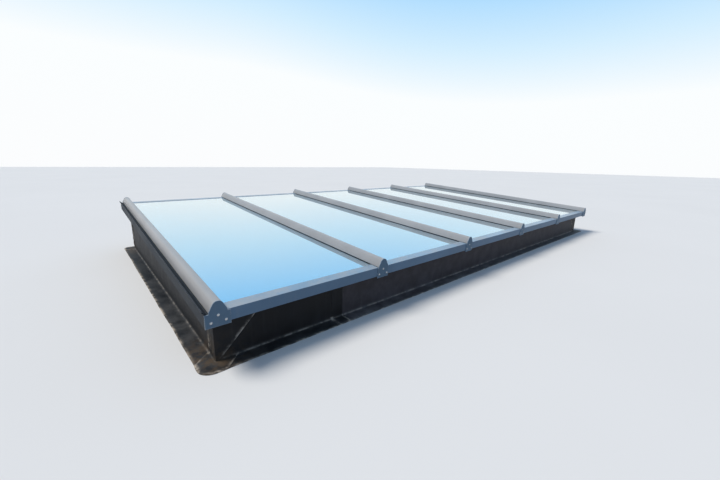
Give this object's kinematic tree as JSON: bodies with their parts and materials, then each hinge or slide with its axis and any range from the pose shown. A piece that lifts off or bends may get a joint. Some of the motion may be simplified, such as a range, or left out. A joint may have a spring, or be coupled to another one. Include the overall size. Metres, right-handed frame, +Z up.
{
  "type": "roof skylight",
  "caption": "Fixed single-slope glazing-bar roof skylight with sealed glass units, capped bars and edge trims, on a kerb dressed with rubber membrane.",
  "frame": {"origin": "centre of the kerb's base, on the roof deck", "axes": "+X along the eaves to the right, +Y from the low front to the high back, +Z up"},
  "size_m": [3.89, 2.1134, 0.3993],
  "materials": {
    "timber": "sawn softwood",
    "membrane": "matt, dusty",
    "bar_metal": "satin powder coat",
    "cap_metal": "satin powder coat",
    "plate_metal": "satin powder coat",
    "trim_metal": "satin powder coat",
    "flashing_metal": "satin powder coat",
    "outer_glass": "clear float glass, blue tint",
    "inner_glass": "clear float glass",
    "spacer": "mill finish",
    "closure": "rigid foam block, black",
    "packer": "rigid extrusion, white",
    "gasket": "matt black",
    "screw": "stainless"
  },
  "bodies": {
    "root": {"back_closures": "closure", "back_end_plates": "plate_metal", "back_trims": "trim_metal", "bar_cap_1": "cap_metal", "bar_cap_2": "cap_metal", "bar_cap_3": "cap_metal", "bar_cap_4": "cap_metal", "bar_cap_5": "cap_metal", "bar_cap_6": "cap_metal", "edge_packer_left": "packer", "edge_packer_right": "packer", "end_plate_screws": "screw", "front_closures": "closure", "front_end_plate_1": "plate_metal", "front_end_plate_2": "plate_metal", "front_end_plate_3": "plate_metal", "front_end_plate_4": "plate_metal", "front_end_plate_5": "plate_metal", "front_end_plate_6": "plate_metal", "front_trim_1": "trim_metal", "front_trim_2": "trim_metal", "front_trim_3": "trim_metal", "front_trim_4": "trim_metal", "front_trim_5": "trim_metal", "inner_pane_1": "inner_glass", "inner_pane_2": "inner_glass", "inner_pane_3": "inner_glass", "inner_pane_4": "inner_glass", "inner_pane_5": "inner_glass", "kerb_back": "timber", "kerb_front": "timber", "kerb_left": "timber", "kerb_right": "timber", "kerb_screws": "screw", "lower_gaskets": "gasket", "membrane_back": "membrane", "membrane_corner_back_left": "membrane", "membrane_corner_back_right": "membrane", "membrane_corner_front_left": "membrane", "membrane_corner_front_right": "membrane", "membrane_front_left": "membrane", "membrane_front_right": "membrane", "membrane_left": "membrane", "membrane_right": "membrane", "outer_pane_1": "outer_glass", "outer_pane_2": "outer_glass", "outer_pane_3": "outer_glass", "outer_pane_4": "outer_glass", "outer_pane_5": "outer_glass", "rafter_1": "bar_metal", "rafter_2": "bar_metal", "rafter_3": "bar_metal", "rafter_4": "bar_metal", "rafter_5": "bar_metal", "rafter_6": "bar_metal", "rafter_screws": "screw", "side_flashing_left": "flashing_metal", "side_flashing_right": "flashing_metal", "spacer_frames": "spacer", "upper_gaskets": "gasket"}
  },
  "joints": []
}
